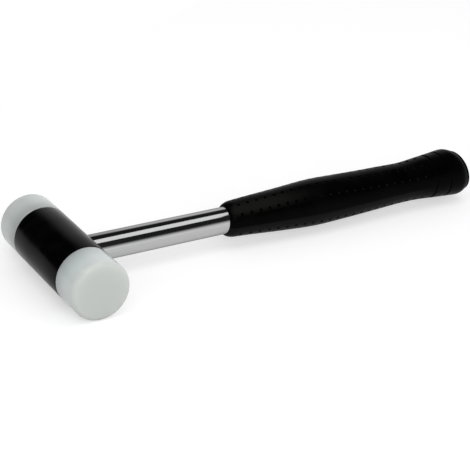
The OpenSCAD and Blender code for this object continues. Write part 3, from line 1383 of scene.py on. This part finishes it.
@dataclass(frozen=True)
class Studio:
    """Pale floor, two soft lamps and a plain room that the bright metal mirrors, with lengths in metres."""

    floor_edge: Vector = Vector((-0.1, 0.145, 0.0))
    floor_way: Vector = Vector((0.82, 0.57, 0.0))
    floor_half: float = 1.6
    floor_depth: float = 2.2
    floor_level: float = 0.6
    # faint painted shade: the floor's glow is a little weaker near the hammer than farther out, a slightly
    # darker pool under it
    floor_lift: Range = (0.52, 0.58)
    lift_reach: Range = (0.04, 0.24)
    lift_stretch: Vector = Vector((0.4, 1.0, 0.0))
    lamp_spot: Vector = Vector((0.0, -0.26, 0.8))
    lamp_size: Range = (1.0, 0.5)
    lamp_level: float = 1.3
    fill_spot: Vector = Vector((-0.12, -0.66, 0.44))
    fill_size: Range = (0.24, 0.24)
    fill_level: float = 6.5
    room_level: float = 0.95
    room_side: float = 0.05
    room_below: float = 0.25
    room_above: float = 0.4
    below_fades: Range = (-0.1, 0.0)
    above_fades: Range = (0.2, 1.0)
    wall_top: Range = (0.0, 0.4)
    wall_rise: float = 0.78
    corner_sides: Range = (0.0, 0.4)
    corner_depths: Range = (0.2, 0.6)
    corner_top: Range = (-0.09, 0.04)
    corner_shade: float = 0.32
    ceiling_level: float = 0.018

    def build_floor(self) -> None:
        """Lays the floor, which ends a little way behind the far face of the head."""
        mesh = bmesh.new()
        edge = Vector((HEAD_CENTRE.x, HEAD_CENTRE.y, 0.0)) + self.floor_edge
        ahead = Vector((self.floor_way.y, -self.floor_way.x, 0.0))
        spots = ((-self.floor_half, 0.0), (-self.floor_half, self.floor_depth),
                 (self.floor_half, self.floor_depth), (self.floor_half, 0.0))
        mesh.faces.new([mesh.verts.new(edge + self.floor_way * along + ahead * out) for along, out in spots])
        floor = object_from(mesh, "floor")
        material = bpy.data.materials.new("pale_floor")
        material.use_nodes = True
        bench = Bench(material.node_tree)
        # faint painted shade: the glow for the camera and mirrors grows with distance from under the hammer
        away = bench.vector("LENGTH", bench.placed(Vector(), self.lift_stretch))
        level = bench.product(bench.seen(), bench.spread(away, *self.lift_reach, *self.floor_lift))
        lift = bench.node("ShaderNodeEmission", {"Strength": level})
        matt = bench.node("ShaderNodeBsdfDiffuse", {"Color": (*[self.floor_level] * 3, 1.0)})
        both = bench.node("ShaderNodeAddShader", {0: matt.outputs[0], 1: lift.outputs[0]})
        bench.node("ShaderNodeOutputMaterial", {"Surface": both.outputs[0]})
        floor.data.materials.append(material)

    def hang_lamp(self, name: str, spot: Vector, size: Range, level: float, way: Vector) -> None:
        """Hangs one soft lamp.

        Args:
            name: Name of the lamp.
            spot: Place of its middle, from the middle of the head.
            size: Its width and depth.
            level: How bright its surface looks, where 1 is white.
            way: Direction that it shines in.
        """
        lamp = bpy.data.lights.new(name, "AREA")
        lamp.shape = "RECTANGLE"
        lamp.size, lamp.size_y = size
        lamp.energy = level * math.pi * size[0] * size[1]
        hung = bpy.data.objects.new(name, lamp)
        hung.location = HEAD_CENTRE + spot
        hung.rotation_mode = "QUATERNION"
        hung.rotation_quaternion = way.to_track_quat("-Z", "Y")
        bpy.context.scene.collection.objects.link(hung)

    def hang_lamps(self) -> None:
        """Hangs the wide lamp above the hammer and the small one in front of its head."""
        down = Vector((0.0, 0.0, -1.0))
        self.hang_lamp("overhead_lamp", self.lamp_spot, self.lamp_size, self.lamp_level, down)
        self.hang_lamp("front_lamp", self.fill_spot, self.fill_size, self.fill_level, -self.fill_spot)

    def paint_room(self) -> None:
        """Makes the room: white walls, low at the back left, a dark ceiling and light stronger from +X."""
        world = bpy.data.worlds.new("plain_room")
        bpy.context.scene.world = world
        world.use_nodes = True
        bench = Bench(world.node_tree)
        way = bench.parts(bench.coordinates["Generated"])
        rise = bench.product(bench.math("MAXIMUM", way[1], 0.0), self.wall_rise)
        wall = bench.spread(bench.math("SUBTRACT", way[2], rise), *self.wall_top, 1.0, self.ceiling_level)
        corner = bench.product(bench.spread(way[0], *self.corner_sides, 1.0, 0.0),
                               bench.spread(way[1], *self.corner_depths, 0.0, 1.0))
        above = bench.spread(way[2], *self.corner_top, 0.0, 1.0)
        wall = bench.product(wall, bench.rest_of(bench.product(corner, above)))
        side = bench.product(way[0], self.room_side * self.room_level)
        light = bench.product(bench.math("ADD", side, self.room_level),
                              bench.spread(way[2], *self.below_fades, self.room_below, 1.0),
                              bench.spread(way[2], *self.above_fades, 1.0, self.room_above),
                              bench.rest_of(bench.product(corner, self.corner_shade)))
        seen = bench.node("ShaderNodeMix", {0: bench.seen(), 2: light, 3: wall}).outputs[0]
        back = bench.node("ShaderNodeBackground", {"Color": (1.0, 1.0, 1.0, 1.0), "Strength": seen})
        bench.node("ShaderNodeOutputWorld", {"Surface": back.outputs[0]})


@dataclass(frozen=True)
class Viewpoint:
    """Camera of the photograph, placed from the middle of the head."""

    stand: Vector = Vector((-289.2, -639.6, 355.2)) * MM
    azimuth: float = -32.21
    elevation: float = 25.885
    roll: float = 2.91
    lens: float = 106.2
    sensor: float = 36.0
    clip_start: float = 10.0 * MM

    def build(self) -> None:
        """Makes the camera and makes it the scene's own."""
        turn, rise = math.radians(self.azimuth), math.radians(self.elevation)
        back = Vector((math.sin(turn) * math.cos(rise), -math.cos(turn) * math.cos(rise), math.sin(rise)))
        data = bpy.data.cameras.new("camera")
        data.lens = self.lens
        data.sensor_width = self.sensor
        data.clip_start = self.clip_start
        camera = bpy.data.objects.new("camera", data)
        camera.location = HEAD_CENTRE + self.stand
        camera.rotation_mode = "QUATERNION"
        level = (-back).to_track_quat("-Z", "Y")
        camera.rotation_quaternion = level @ Quaternion((0.0, 0.0, 1.0), math.radians(self.roll))
        bpy.context.scene.collection.objects.link(camera)
        bpy.context.scene.camera = camera


def main() -> None:
    """Builds the hammer, its studio and its camera."""
    logging.basicConfig(level=logging.INFO, format="%(name)s: %(message)s")
    bpy.context.scene.view_settings.view_transform = "Standard"
    Viewpoint().build()
    studio = Studio()
    studio.build_floor()
    studio.hang_lamps()
    studio.paint_room()

    faces = [ScrewFace.from_frame(end) for end in End]
    nylon = MilkyNylon(HEAD_CENTRE, faces[0].back, faces[0].front, faces[0].radius).made()
    steels = (
        PlatedSteel("stud_steel"),
        PlatedSteel("washer_steel", (0.3, 0.3, 0.3), (0.22, 0.215, 0.21), roughness=0.38),
        PlatedSteel("core_steel", (0.4, 0.4, 0.4)),
        PlatedSteel("pin_steel", (0.28, 0.28, 0.28), (0.2, 0.2, 0.2)),
    )
    stud_steel, washer_steel, core_steel, pin_steel = (steel.made() for steel in steels)
    Head.from_frame().build(BlackPaint().made())
    for face in faces:
        face.build_face(nylon)
        face.build_stud(stud_steel)
        face.build_washer(washer_steel)
    Tube.from_frame().build(BrightChrome().made())
    grip = Grip.from_frame()
    vinyl = BlackVinyl(HEAD_CENTRE, (grip.mouth_at, grip.mouth_radius), (grip.belly_at, grip.belly_radius))
    grip.build(vinyl.made())
    dress_node("tube_core", core_steel)
    dress_node("handle_pin", pin_steel)
    dress_node("tube_plug", PlugPlastic().made())


if __name__ == "__main__":
    main()
